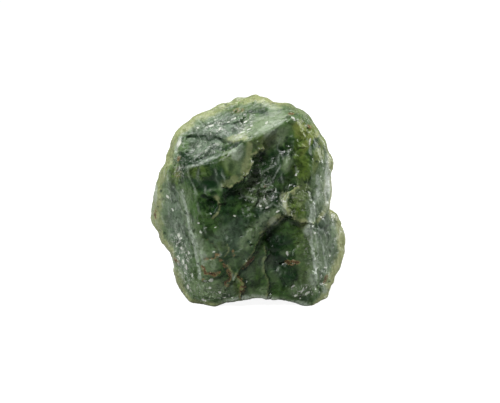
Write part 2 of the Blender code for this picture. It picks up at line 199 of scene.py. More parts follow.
# Colour patches seen from the front, by tint: right, up, half width, half height, turn, strength
frontPatches = {
    "deep": [  # painted shade in the hollow under the shelf and under the steps, and the stone's darkest greens
        (4.5, 14.1, 3.7, 6.8, -12, 1.0), (12.3, 18.2, 2.7, 2.7, 0, 0.6), (8.9, 7.3, 4.4, 3.4, 0, 0.9),
        (0.5, 1.5, 4.8, 3.1, 0, 0.8), (-8.0, 3.2, 5.1, 4.1, 0, 0.9), (-14.1, -1.6, 3.4, 3.1, 0, 0.85),
        (-12.4, 8.0, 4.8, 3.1, 0, 0.8), (-5.6, -4.3, 4.1, 2.7, 0, 0.5), (7.3, -11.1, 3.1, 4.4, -40, 0.9),
        (12.0, -18.9, 4.8, 7.5, 0, 0.75), (14.0, -26.0, 4.1, 4.1, 0, 0.9), (8.6, -29.4, 2.4, 2.7, 0, 0.5),
        (-14.1, -9.7, 2.7, 4.1, 0, 0.5), (-21.2, 15.1, 2.0, 1.2, 0, 0.8), (-11.7, 4.9, 2.7, 2.0, 0, 1.0),
        (-8.7, 10.7, 1.7, 1.7, 0, 0.7), (8.3, 11.4, 2.0, 1.7, 0, 0.9), (-11.7, -4.6, 2.0, 2.0, 0, 1.0),
        (10.3, 12.0, 1.7, 3.1, 0, 1.0), (13.0, 19.9, 2.6, 1.3, 10, 0.5), (-9.0, 6.6, 2.2, 1.8, 0, 0.9),
        (11.3, 20.5, 1.8, 1.4, 0, 0.8), (10.6, 9.0, 2.2, 2.2, 0, 0.9), (-21.6, -19.6, 1.4, 3.0, 12, 0.5),
        (-8.7, 8.6, 2.0, 2.7, 0, 0.8), (-13.4, 3.2, 3.1, 1.4, 0, 1.0), (0.1, 14.1, 1.4, 3.4, -20, 0.6),
    ],
    "crease": [  # shadow green of small hollows
        (-12.4, 5.2, 2.7, 1.7, 0, 0.9), (-8.7, 6.3, 1.8, 1.4, 0, 0.7), (-5.6, 11.2, 1.0, 2.4, 0, 0.5),
        (-8.6, 12.4, 1.2, 1.4, 0, 0.4), (10.4, 9.2, 1.8, 1.6, 0, 0.7), (12.7, -22.0, 1.8, 2.0, 0, 0.7),
        (-12.4, -25.1, 1.3, 0.35, -5, 0.8), (11.0, 2.9, 1.0, 1.4, 20, 0.9), (22.8, -9.7, 0.5, 0.7, 0, 0.9),
        (-13.8, -0.9, 1.0, 0.8, -30, 0.7),
    ],
    "grey": [  # slate faces
        (-11.4, 24.3, 11.2, 6.5, 15, 1.0), (-14.8, 16.1, 7.5, 3.1, 10, 0.9),
        (-24.6, -9.7, 4.4, 17.7, 12, 0.9), (-7.0, -13.1, 8.5, 5.8, 40, 0.6),
        (24.9, 3.2, 2.7, 10.2, 0, 0.5), (26.2, -17.2, 3.7, 11.6, 0, 0.9), (3.2, 3.2, 7.5, 4.8, 0, 0.15),
        (6.6, -21.3, 3.4, 4.1, 0, 0.5), (0.5, -23.3, 2.7, 5.4, 0, 0.5),
    ],
    "olive": [  # yellow-green wax
        (18.0, 22.6, 2.2, 4.1, 0, 0.8), (18.4, 10.7, 3.1, 5.8, 0, 0.9), (16.7, -3.3, 3.1, 2.7, 0, 0.8),
        (-6.0, 13.4, 3.9, 4.4, 0, 0.7), (-16.5, 9.3, 4.8, 2.7, 0, 0.6), (-26.0, 9.3, 3.4, 4.4, 0, 0.8),
        (2.2, -25.7, 3.1, 5.8, 0, 0.12), (-2.9, -29.4, 2.4, 3.1, 0, 0.8), (-9.0, -15.8, 3.1, 2.0, 0, 0.35),
        (18.8, -13.8, 2.7, 6.8, 0, 0.5), (20.1, -25.7, 2.7, 4.1, 0, 0.5), (-3.9, 31.1, 3.4, 1.7, 0, 0.6),
        (4.5, 19.2, 4.8, 3.1, 0, 0.6), (-7.7, 33.1, 2.7, 1.0, 12, 0.7), (20.8, 20.2, 1.4, 5.4, -24, 0.9),
        (7.6, 20.6, 3.0, 2.2, 20, 0.9), (2.2, 1.5, 4.8, 3.6, 0, 0.4), (16.9, -2.6, 3.2, 3.4, 0, 0.9),
        (-6.0, 11.0, 2.4, 3.0, 0, 0.8), (17.4, 17.0, 2.6, 5.0, -10, 0.9), (24.2, 15.4, 1.8, 3.4, -12, 0.6),
    ],
    "moss": [  # warm green of the right shoulder
        (21.2, 21.6, 1.4, 7.5, -24, 0.9), (23.2, 12.4, 1.0, 4.1, -12, 0.5),
        (17.4, 25.6, 2.4, 1.4, 20, 0.7), (6.6, 19.9, 4.1, 2.0, 36, 0.4), (19.1, -7.7, 1.7, 2.7, 0, 0.4),
        (18.1, 24.0, 2.6, 3.4, -10, 1.0), (18.4, 2.4, 3.4, 4.5, 0, 0.35), (24.4, 16.5, 1.8, 5.0, -18, 0.6),
        (-7.7, 33.1, 2.0, 0.9, 12, 0.3),
    ],
    "mist": [  # painted glow of light through thin stone, and painted light on dim faces and edges
        (-8.9, 4.6, 0.9, 1.6, 0, 0.7), (5.6, 25.4, 11.2, 3.0, 30, 1.0), (25.0, 10.7, 3.0, 9.5, 4, 0.45),
        (22.8, -1.9, 2.7, 5.4, 0, 0.4), (17.8, 2.2, 3.7, 2.4, -8, 0.55), (12.0, -2.2, 1.4, 3.7, 10, 0.5),
        (13.4, 12.0, 1.8, 2.9, -12, 0.95), (-4.6, 12.2, 3.4, 3.7, 0, 0.5),
        (-1.9, 13.4, 2.4, 5.8, -15, 0.6), (-12.7, -21.3, 3.4, 4.8, 0, 0.7),
        (-13.1, -30.1, 8.2, 3.7, 0, 0.75), (-16.5, -13.8, 2.0, 7.5, 12, 0.5),
        (19.1, -19.2, 2.7, 10.2, 0, 0.3), (18.4, -30.8, 5.1, 3.1, 0, 0.45),
        (13.0, -17.9, 1.7, 1.4, 0, 0.35), (8.9, -26.0, 1.7, 2.0, 0, 0.25),
        (27.6, -15.5, 2.7, 8.2, 0, 0.35), (-20.5, -21.3, 2.6, 7.5, 14, 0.15),
        (22.5, 3.2, 1.7, 7.5, 0, 0.5), (22.2, -16.5, 1.7, 12.0, 2, 0.6), (-21.9, 1.2, 1.7, 5.1, 0, 0.4),
        (-26.0, 11.4, 3.1, 4.1, 0, 0.1), (3.2, 18.5, 3.4, 2.0, 0, 0.3), (1.8, -31.5, 4.1, 1.7, 0, 0.35),
        (5.9, -31.1, 2.0, 2.0, 0, 0.6), (25.0, 5.5, 1.8, 6.5, 0, 0.75), (25.0, -19.5, 2.6, 6.0, 0, 0.5),
        (18.6, 4.2, 3.2, 3.2, 0, 0.4), (-21.6, -32.8, 3.1, 2.7, 0, 0.4), (17.4, 27.7, 3.1, 2.7, 0, 0.5),
        (22.0, 25.0, 2.6, 7.5, 38, 0.35), (-14.8, -19.9, 2.0, 5.4, 12, 0.55),
        (-3.9, 15.4, 2.0, 1.7, 0, 0.9), (9.6, 21.2, 6.5, 2.7, 36, 0.85), (20.1, -10.1, 1.7, 2.0, 0, 0.8),
        (21.8, -26.7, 2.0, 3.7, 0, 1.0), (18.8, 1.2, 2.7, 4.1, 0, 0.5), (4.5, -0.2, 3.4, 2.4, 0, 0.35),
        (1.2, 6.9, 2.4, 1.7, 20, 0.5), (-14.4, -17.9, 1.7, 5.4, 12, 0.5),
        (-15.5, -16.5, 1.7, 4.1, 12, 0.8), (22.5, -3.3, 1.4, 3.1, 0, 0.8),
        (-19.9, 1.2, 0.9, 3.4, -10, 0.5),
    ],
    "pale": [  # cream where an edge has crumbled
        (-4.4, 7.0, 1.3, 1.7, -20, 0.6), (-0.8, 11.6, 1.3, 4.2, -12, 0.5), (-3.6, 20.9, 4.1, 1.5, 12, 0.8),
        (0.5, 16.8, 1.2, 3.1, -10, 0.55), (-7.0, 5.9, 2.4, 1.0, 0, 0.4), (12.7, -1.2, 1.0, 4.4, 12, 0.8),
        (9.3, -6.7, 3.1, 1.0, 35, 0.7), (18.8, -7.3, 3.4, 0.9, -12, 0.5), (-10.4, 0.8, 1.2, 0.9, -20, 0.5),
        (25.6, -5.3, 0.9, 2.7, -35, 0.7), (9.3, -7.7, 1.4, 1.0, 30, 0.7), (23.9, 22.6, 1.0, 1.7, -35, 0.9),
        (-1.2, 20.9, 1.7, 1.4, 10, 0.7), (10.0, -6.7, 1.4, 1.0, 30, 0.8),
    ],
    "sheen": [  # painted highlights on edges, ridges and lips
        (5.8, 24.9, 6.6, 1.5, 30, 0.12), (7.3, 32.8, 3.1, 1.4, -18, 0.35), (-1.9, 36.5, 3.4, 1.0, 5, 0.25),
        (22.5, -27.1, 1.4, 2.7, 0, 0.5), (22.8, -3.9, 1.2, 2.7, 0, 0.55),
        (-15.1, -18.9, 1.0, 2.7, 12, 0.3), (-15.8, -15.2, 0.9, 2.0, 12, 0.25),
        (20.5, -1.6, 1.0, 1.7, 0, 0.25), (24.2, 1.8, 1.0, 2.0, 0, 0.3), (5.2, -6.7, 3.4, 1.0, 38, 0.15),
        (-3.6, 15.8, 2.0, 1.7, 0, 0.6), (20.8, -10.1, 2.0, 2.0, 0, 0.85), (8.9, -7.3, 1.4, 1.4, 0, 0.4),
        (7.6, 22.2, 2.7, 1.4, 36, 0.5), (-3.0, 21.2, 3.6, 1.0, 14, 0.45), (26.9, -31.1, 1.2, 1.5, 0, 0.6),
        (24.2, 2.9, 1.0, 2.0, 0, 0.45), (1.2, 6.9, 2.0, 1.4, 20, 0.15), (27.6, 5.2, 1.2, 8.2, 0, 1.0),
        (-32.1, 2.5, 0.9, 4.1, 0, 0.8), (-33.1, -3.6, 0.7, 2.7, 0, 0.4), (-26.0, -22.3, 1.0, 2.7, 20, 0.5),
        (-3.7, 14.6, 1.9, 1.5, 0, 0.5), (-2.6, 17.2, 2.0, 0.7, 25, 0.4), (-15.5, 17.8, 3.6, 2.0, 10, 0.15),
        (-14.8, -19.2, 1.2, 2.4, 12, 0.45), (22.2, -5.6, 1.2, 1.8, 0, 0.6),
        (12.3, -1.6, 0.8, 3.6, 14, 0.4),
    ],
    "rust": [  # iron stains
        (-12.1, -24.9, 2.2, 0.55, -5, 0.9), (-6.3, -24.7, 0.5, 3.0, 12, 0.6),
        (-7.0, -28.8, 0.9, 1.0, -35, 0.6), (0.5, -21.3, 3.0, 0.6, 48, 0.9),
        (-1.9, -30.1, 0.9, 1.7, 0, 0.7), (15.4, -21.3, 2.7, 1.0, 0, 0.9), (14.9, 29.4, 1.2, 0.5, 0, 0.9),
        (-23.4, 14.2, 0.7, 1.0, 0, 1.0), (-32.1, -5.0, 0.7, 1.9, 0, 0.8),
        (-24.6, -20.9, 1.4, 0.7, -35, 0.8), (27.1, -27.4, 0.7, 2.0, -25, 0.8),
        (6.2, 4.6, 0.7, 0.5, 0, 0.8), (21.2, 25.3, 1.0, 0.9, 0, 0.5), (-23.9, 9.3, 1.7, 2.4, 0, 0.2),
        (-2.9, 31.1, 2.4, 1.2, 0, 0.3), (-15.1, -27.1, 0.7, 0.7, 0, 0.5), (-4.6, -17.9, 0.6, 1.4, 15, 0.5),
    ],
    "frost": [  # white bruise flecks, partly painted glints
        (-12.1, 26.0, 5.4, 3.4, 15, 0.8), (-1.2, 27.0, 4.1, 3.4, 15, 0.9),
        (-14.8, 17.5, 6.8, 3.4, 10, 0.55), (4.5, 3.2, 6.8, 4.8, 0, 0.6),
        (-22.2, -20.0, 3.4, 12.0, 14, 1.0), (-13.1, -31.5, 8.2, 2.7, 0, 0.6),
        (18.8, -31.1, 4.1, 2.7, 0, 1.0), (20.8, -13.8, 1.7, 13.6, 0, 0.4), (-23.3, 11.7, 3.1, 4.8, 0, 0.5),
        (16.1, -1.9, 3.1, 4.1, 0, 0.3), (5.6, 11.7, 4.1, 4.8, 0, 0.4), (-2.0, 22.3, 3.6, 1.5, 25, 0.9),
        (12.4, -1.4, 1.6, 4.6, 12, 0.9),
    ],
}
# The same for the back and the flanks, with the tint and the side first
sidePatches = [
    ("grey", "right", 9, -19, 6.5, 9, 0, 0.7), ("grey", "back", -8, 10, 13, 10, 0, 0.9),
    ("grey", "back", 14, -20, 11, 13, 0, 0.8), ("grey", "backLeft", 2, -12, 12, 14, 0, 0.7),
    ("grey", "backRight", -4, 8, 10, 10, 0, 0.8), ("olive", "back", 4, -14, 8, 7, 0, 0.6),
    ("olive", "back", -14, 18, 6, 6, 0, 0.6), ("olive", "backRight", 4, -16, 8, 8, 0, 0.6),
    ("mist", "back", -14, 20, 8, 6, 0, 0.5), ("mist", "back", 16, 4, 8, 12, 0, 0.4),
    ("mist", "backLeft", 8, 12, 7, 8, 0, 0.4), ("rust", "back", 3, -6, 4.5, 1.0, 10, 0.7),
    ("rust", "backLeft", -3, 6, 3.5, 0.9, -20, 0.6), ("frost", "back", -6, 12, 12, 9, 0, 0.6),
    ("frost", "back", 10, -20, 10, 10, 0, 0.5),
]

# Dark grains in the front's wax: right, up
darkGrains = [
    (20.1, 2.9), (21.2, 7.6), (26.2, -18.2), (21.8, 15.1), (23.5, 13.1), (19.5, 6.3), (27.9, -13.1),
    (28.6, -21.3), (13.4, 21.2), (15.7, 20.5), (27.6, -9.0), (-30.0, 3.2), (-31.1, -2.2), (-29.0, -11.4),
    (24.5, 18.2), (-7.7, 33.5), (4.5, 32.8), (11.7, -4.6), (29.3, -10.4),
]
grainHalves = [(0.45, 0.36), (0.57, 0.46), (0.7, 0.56)]  # their half widths and heights, in turn

# White chips: for each side, right, up, half width, half height, turn
chips = {
    "front": [
        (-23.6, -12.0, 0.34, 0.55, 10), (-22.9, -13.1, 0.42, 0.26, -25), (-16.5, -7.7, 0.31, 0.21, 0),
        (-15.8, -10.7, 0.2, 0.58, 10), (-10.7, -9.4, 0.31, 0.19, 0), (-11.4, -17.5, 0.51, 0.2, 20),
        (-21.9, -21.3, 0.22, 0.8, 10), (-20.9, -23.0, 0.2, 0.65, 10), (-18.8, -25.7, 0.22, 0.8, 15),
        (-14.4, -27.4, 0.43, 0.32, 0), (-12.2, -27.1, 0.72, 0.35, 30), (-12.7, -29.8, 0.31, 0.21, 0),
        (-9.4, -31.5, 0.43, 0.2, 0), (-14.8, -34.2, 0.8, 0.22, -10), (-7.7, -33.2, 0.31, 0.16, 0),
        (-5.3, -33.2, 0.33, 0.19, 0), (13.4, -18.2, 0.26, 0.72, 10), (23.2, -11.1, 0.61, 0.22, -20),
        (18.8, -30.8, 0.22, 0.8, -25), (20.5, -31.8, 0.87, 0.22, 35), (16.7, -32.8, 0.65, 0.22, 30),
        (18.1, -33.5, 0.33, 0.19, 0), (26.9, -23.3, 0.61, 0.2, 5), (29.0, -19.6, 0.31, 0.21, 0),
        (-23.4, 19.7, 0.55, 1.8, -20), (-12.4, 25.6, 1.01, 0.25, 15), (-9.4, 24.3, 0.25, 0.72, -25),
        (-17.2, 25.0, 0.43, 0.2, 0), (-0.5, 26.7, 0.66, 0.18, 30), (-1.9, 22.9, 0.89, 0.22, 20),
        (1.5, 25.3, 0.48, 0.16, 35), (6.6, 26.3, 0.25, 0.58, -30), (0.5, 23.9, 0.71, 0.18, 30),
        (15.7, 27.5, 0.9, 0.17, -35), (5.9, -0.2, 0.3, 0.94, 15), (6.6, -2.6, 0.58, 0.2, 20),
        (4.2, -1.9, 0.33, 0.19, 0), (10.3, -3.9, 0.58, 0.2, 30), (1.5, 10.0, 0.26, 0.19, 0),
        (21.2, 19.9, 0.22, 1.29, -8), (16.7, 8.6, 0.17, 0.58, -15), (-4.3, 28.0, 0.51, 0.17, 25),
        (-6.6, 26.7, 0.43, 0.14, 20), (-19.9, -17.9, 0.2, 0.58, 12), (-22.6, -16.5, 0.2, 0.51, 12),
        (-20.5, -29.8, 0.25, 0.72, 15), (-4.3, -5.3, 0.43, 0.17, -35), (-27.3, 1.2, 0.25, 0.8, 30),
        (-25.6, -3.3, 0.2, 0.51, 20), (15.4, -29.4, 0.43, 0.17, 30), (0.8, 3.9, 0.51, 0.14, 20),
        (3.5, 5.6, 0.65, 0.14, 30),
    ],
    "back": [
        (-9.0, 14.0, 1.0, 0.34, 20), (4.0, 6.5, 0.42, 1.12, -20), (12.0, -16.0, 1.12, 0.34, 35),
        (-3.0, -20.0, 0.69, 0.4, 0),
    ],
    "backLeft": [
        (6.0, 8.0, 1.0, 0.34, 15),
    ],
    "backRight": [
        (-5.0, 4.0, 0.42, 1.25, 10),
    ],
}

# Thin lines of colour seen from the front: tint, half width, strength, then the line
streaks = [
    # painted highlights down the two corners
    ("mist", 1.5, 0.6, [
        (-22.6, 3.9), (-20.9, -3.6), (-19.5, -9.0), (-17.5, -15.5), (-15.5, -22.0), (-14.1, -29.1),
    ]),
    ("sheen", 0.5, 0.8, [(-22.2, 3.2), (-20.9, -2.2), (-19.9, -7.7), (-18.8, -12.4)]),
    ("sheen", 0.5, 0.75, [(-19.9, -9.7), (-17.8, -15.8), (-16.8, -21.3), (-16.1, -26.7)]),
    ("sheen", 0.35, 0.7, [(-18.8, -11.1), (-16.1, -17.2), (-14.8, -22.0)]),
    ("mist", 1.6, 0.7, [
        (23.9, 9.3), (23.5, 2.5), (21.8, -5.0), (22.2, -12.4), (22.8, -19.2), (23.2, -24.7), (22.8, -30.8),
    ]),
    ("sheen", 0.7, 0.9, [(23.9, 8.0), (23.9, 3.2), (22.8, -0.9), (21.5, -5.6), (21.2, -9.7)]),
    ("sheen", 0.55, 0.9, [
        (21.8, -1.6), (21.5, -7.0), (21.8, -13.8), (22.5, -19.2), (23.2, -23.3), (23.2, -27.4),
    ]),
    ("sheen", 0.3, 0.5, [(21.2, -7.7), (23.2, -11.8), (24.2, -17.2), (23.9, -21.3)]),
    ("sheen", 0.3, 0.6, [(23.2, -9.4), (24.9, -12.4), (26.2, -16.9), (26.6, -19.9), (27.3, -22.6)]),
    # painted light on the foot's lower edge and on the lit side of the slab's lip
    ("mist", 1.3, 0.9, [
        (-9.0, -35.2), (-4.9, -34.2), (-1.2, -33.2), (2.5, -32.8), (6.6, -33.5), (12.0, -34.5),
        (17.4, -35.9), (21.2, -35.9),
    ]),
    ("sheen", 1.0, 0.8, [
        (-7.7, -35.2), (-2.9, -33.9), (2.5, -33.2), (7.3, -33.9), (14.0, -35.2), (20.1, -35.9),
    ]),
    ("mist", 2.2, 0.7, [(-0.9, -14.8), (1.8, -11.1), (5.2, -7.7), (9.6, -4.6)]),
    ("mist", 1.6, 0.3, [(-5.6, -21.3), (-1.9, -17.2)]),
    # whitish scratches and bruises, partly painted glints
    ("sheen", 0.24, 0.5, [(4.5, 4.28), (7.9, 5.77), (11.3, 11.7)]),
    ("sheen", 0.2, 0.37, [(2.5, 5.33), (5.9, 10.0), (8.9, 11.4)]),
    ("sheen", 0.24, 0.5, [(0.8, 3.22), (3.9, 3.91), (6.6, 7.6)]),
    ("sheen", 0.24, 0.43, [(3.2, 2.42), (6.9, 3.66), (10.0, 2.85), (11.7, 1.8)]),
    ("sheen", 0.31, 0.5, [(-0.5, 1.36), (1.5, 0.74), (2.8, 0.1)]),
    ("sheen", 0.54, 0.5, [(3.2, -1.2), (5.2, 0.06), (6.6, -1.6)]),
    ("sheen", 0.31, 0.43, [(6.6, -2.6), (8.6, -1.2), (10.3, -2.2)]),
    ("sheen", 0.24, 0.31, [(-2.9, 2.6), (-1.6, 1.36), (-2.9, 0.1)]),
    ("sheen", 0.24, 0.31, [(11.3, 21.6), (10.0, 17.5), (12.0, 14.1)]),
    ("sheen", 0.34, 0.5, [(20.5, 20.5), (21.2, 17.8), (21.5, 15.4)]),
    ("sheen", 0.27, 0.37, [(-27.7, 4.09), (-24.6, 0.74), (-21.9, -4.6)]),
    ("sheen", 0.27, 0.37, [(-25.3, 4.53), (-22.2, 0.74), (-20.2, -4.3)]),
    ("sheen", 0.61, 0.59, [(-23.6, -11.8), (-22.9, -13.1)]),
    ("sheen", 0.34, 0.43, [(-22.2, -21.3), (-21.2, -24.0), (-20.5, -26.7)]),
    # painted highlights on the rounded lips of the top
    ("sheen", 0.51, 0.51, [
        (-20.5, 11.0), (-16.5, 12.0), (-13.1, 13.7), (-9.7, 14.8), (-4.6, 16.5), (-1.6, 18.5),
    ]),
    ("sheen", 0.61, 0.77, [(-24.6, 16.8), (-23.9, 19.2), (-22.9, 21.6)]),
    ("sheen", 0.27, 0.34, [(4.5, 22.6), (8.9, 25.0), (13.4, 27.3)]),
    # green shadows of the steps
    ("crease", 0.45, 0.8, [(-20.5, 22.2), (-17.5, 21.9), (-14.8, 21.2), (-12.7, 20.5)]),
    ("crease", 0.4, 0.75, [(-11.4, 21.6), (-9.4, 20.5), (-7.4, 19.4)]),
    ("crease", 0.48, 0.85, [(-9.0, 16.8), (-5.8, 17.5), (-3.8, 18.6), (-2.4, 19.5)]),
    ("crease", 0.5, 0.85, [(-17.5, 13.6), (-14.8, 14.2), (-13.4, 15.8), (-12.7, 16.8)]),
    ("crease", 0.34, 0.9, [(1.8, 30.6), (3.9, 30.4), (5.9, 29.7)]),
    ("crease", 0.36, 1.0, [(-4.5, 26.0), (-3.0, 26.6), (-1.2, 26.7)]),
    ("crease", 0.6, 1.0, [(-22.7, 15.9), (-21.0, 14.6), (-18.9, 13.9)]),
    ("crease", 0.61, 1.0, [(-15.1, 1.5), (-12.4, 0.8), (-10.7, -0.9), (-10.2, -2.6), (-11.1, -4.3)]),
    # painted shade in the cracks by the foot, and cream crumbs
    ("crease", 0.41, 1.0, [(-3.6, -26.0), (-1.9, -24.3), (-0.2, -22.6), (1.8, -20.3)]),
    ("crease", 0.34, 0.9, [(4.5, -11.8), (5.9, -10.1), (7.9, -8.7), (10.6, -6.7)]),
    ("pale", 0.27, 0.7, [(-6.6, -22.0), (-5.3, -24.7), (-6.0, -27.4)]),
    ("pale", 0.31, 0.8, [(-1.6, -28.8), (-1.2, -30.5), (-2.6, -32.5)]),
    ("pale", 0.17, 0.5, [(-7.7, -18.9), (-6.0, -16.9), (-6.6, -14.8)]),
    ("crease", 0.24, 0.8, [(-9.4, -20.3), (-7.7, -19.9), (-5.6, -19.2)]),
    ("crease", 0.24, 0.7, [(-8.3, -12.8), (-6.6, -14.1), (-5.3, -15.8)]),
    # broken cream lips
    ("pale", 0.34, 0.6, [(-9.9, 0.5), (-9.2, -1.9), (-10.0, -4.3), (-11.7, -6.0)]),
    ("pale", 0.44, 0.7, [(4.5, -11.1), (6.6, -9.7), (9.3, -7.7), (11.7, -5.6)]),
    ("pale", 0.51, 0.6, [(23.5, -7.7), (25.6, -5.0), (27.6, -2.6)]),
]

# The painted glow of light through the thin edge, a pale band round the stone's outline as seen from the
# front: direction from the middle, width, strength
rimGlowBand = [
    (0, 2.4, 1.0), (8, 3.0, 1.0), (22, 2.4, 0.9), (35, 1.4, 0.6), (48, 1.6, 0.3),
    (60, 2.0, 0.25), (66, 2.0, 0.35), (72, 3.2, 1.0), (90, 3.6, 0.9), (102, 2.4, 0.55),
    (112, 3.4, 0.85), (135, 3.2, 0.8), (150, 3.2, 0.75), (160, 2.6, 0.7), (172, 3.6, 0.75),
    (185, 4.2, 0.75), (197, 3.6, 0.8), (205, 2.4, 0.95), (215, 2.8, 1.0), (232, 3.2, 0.95),
    (246, 1.6, 0.6), (300, 0.4, 0.4), (308, 2.4, 0.9), (318, 4.2, 1.0), (330, 3.6, 1.0),
    (342, 4.0, 1.0), (354, 4.6, 1.0), (360, 1.8, 0.9),
]


def wipeSelection():
    bpy.ops.object.select_all(action="DESELECT")


def makeActive(piece):
    wipeSelection()
    piece.select_set(True)
    bpy.context.view_layer.objects.active = piece


def applyAll(piece):
    makeActive(piece)
    for modifier in list(piece.modifiers):
        bpy.ops.object.modifier_apply(modifier=modifier.name)


def readPoints(mesh, name="co"):
    flat = np.empty(len(mesh.vertices) * 3)
    mesh.vertices.foreach_get(name, flat)
    return flat.reshape(-1, 3)


def writePoints(mesh, points):
    mesh.vertices.foreach_set("co", points.ravel())
    mesh.update()


def sideTurn(side):
    azimuth, height = sides[side]
    turn = Matrix.Rotation(math.radians(azimuth), 3, "Z") @ Matrix.Rotation(math.radians(-height), 3, "X")
    return np.array(turn)


def seenFrom(side, points, normals):
    # right, up and how squarely the surface faces this side
    turn = sideTurn(side)
    seen = (points / mm - np.array(stoneMiddle)) @ turn
    facing = -(normals @ turn)[:, 1]
    return seen[:, 0], seen[:, 2], facing


def seenFromAll(points, normals):
    return {side: seenFrom(side, points, normals) for side in sides}


def ease(value, low, high):
    part = np.clip((value - low) / (high - low), 0, 1)
    return part * part * (3 - 2 * part)


def lineDistance(right, up, line):
    # distance to a broken line, and a positive or negative side of it
    best = np.full(len(right), 1e9)
    sign = np.zeros(len(right))
    for (rightA, upA), (rightB, upB) in zip(line, line[1:]):
        alongRight, alongUp = rightB - rightA, upB - upA
        length = alongRight ** 2 + alongUp ** 2
        part = np.clip(((right - rightA) * alongRight + (up - upA) * alongUp) / length, 0, 1)
        away = np.hypot(right - rightA - part * alongRight, up - upA - part * alongUp)
        cross = alongRight * (up - upA) - alongUp * (right - rightA)
        closer = away < best
        best[closer] = away[closer]
        sign[closer] = np.sign(cross[closer])
    return best, sign


def ellipseReach(right, up, middle, half, turned):
    angle = math.radians(turned)
    right = right - middle[0]
    up = up - middle[1]
    along = (right * math.cos(angle) + up * math.sin(angle)) / half[0]
    across = (up * math.cos(angle) - right * math.sin(angle)) / half[1]
    return np.hypot(along, across)


def noiseField(points, length, offset):
    shift = Vector(offset)
    return np.array([noise.noise(Vector(point) / (length * mm) + shift) for point in points])


def planeField(points, length, seed):
    # small tilted planes, as a broken face has
    values = np.empty(len(points))
    for i, point in enumerate(points):
        spot = Vector(point) / (length * mm) + Vector((seed, seed * 1.7, -seed))
        spot += noise.noise_vector(spot * 1.3) * 0.3
        middle = noise.voronoi(spot)[1][0]
        slope = noise.noise_vector(middle * 5.1)
        values[i] = (spot - middle).dot(slope) * 1.9 + noise.noise(middle * 3.7) * 0.6
    return values


def leaning(right, up):
    # across and along the left face's fine lines, which lean about 20 degrees
    return right * 0.94 + up * 0.34, up * 0.94 - right * 0.34


def paint(mesh, name, values):
    attribute = mesh.attributes.new(name, "FLOAT", "POINT")
    attribute.data.foreach_set("value", np.clip(values, 0, 1).astype(np.float32))


def copySkin():
    # a merged copy of the CAD stone, remeshed to an even skin
    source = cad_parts["jade_boulder"]
    makeActive(source)
    bpy.ops.object.duplicate()
    skin = bpy.context.object
    skin.name = "jade_stone"
    bpy.ops.object.mode_set(mode="EDIT")
    bpy.ops.mesh.select_all(action="SELECT")
    bpy.ops.mesh.remove_doubles(threshold=0.00001)
    bpy.ops.mesh.normals_make_consistent(inside=False)
    bpy.ops.object.mode_set(mode="OBJECT")
    remesh = skin.modifiers.new("skin", "REMESH")
    remesh.mode = "VOXEL"
    remesh.voxel_size = stone["grid"] * mm
    soften = skin.modifiers.new("soften", "SMOOTH")
    soften.factor = 0.5
    soften.iterations = stone["softening"]
    applyAll(skin)
    points = readPoints(skin.data)
    seen = seenFromAll(points, readPoints(skin.data, "normal"))
    worn = np.zeros(len(points))
    for side, middle, half, turned in wornZones:
        right, up, facing = seen[side]
        reach = ellipseReach(right, up, middle, half, turned)
        worn = np.maximum(worn, (1 - ease(reach, 0.7, 1.15)) * ease(facing, 0.0, 0.2))
    group = skin.vertex_groups.new(name="worn")
    for index in np.where(worn > 0)[0]:
        group.add([int(index)], float(worn[index]), "REPLACE")
    wear = skin.modifiers.new("wear", "SMOOTH")
    wear.factor = 0.5
    wear.iterations = stone["wearing"]
    wear.vertex_group = "worn"
    applyAll(skin)
    return skin


def rimNearness(points, normals):
    # 1 on the stone's edge as seen from the front, 0 at the inner side of its painted glow band
    right, up, _ = seenFrom("front", points, normals)
    angle = np.degrees(np.arctan2(up, right)) % 360
    reach = np.hypot(right, up)
    wedge = 3  # degrees
    wedges = 360 // wedge
    slots = (angle / wedge).astype(int) % wedges
    farthest = np.zeros(wedges)
    np.maximum.at(farthest, slots, reach)
    turns = np.arange(-1, wedges + 1)
    edge = np.interp(angle, (turns + 0.5) * wedge, farthest[turns % wedges])
    directions, bandWidths, bandStrengths = zip(*rimGlowBand)
    widths = np.interp(angle, directions, bandWidths)
    strengths = np.interp(angle, directions, bandStrengths)
    nearness = 1 - (edge - reach) / widths
    line = KDTree(wedges)
    for slot in range(wedges):
        members = np.where(slots == slot)[0]
        if len(members):
            line.insert(Vector(points[members[np.argmax(reach[members])]]), slot)
    line.balance()
    along = np.array([line.find(Vector(point))[2] for point in points]) / mm
    return np.minimum(nearness, 1.25 - along / (1.9 * widths + 1.2)), strengths


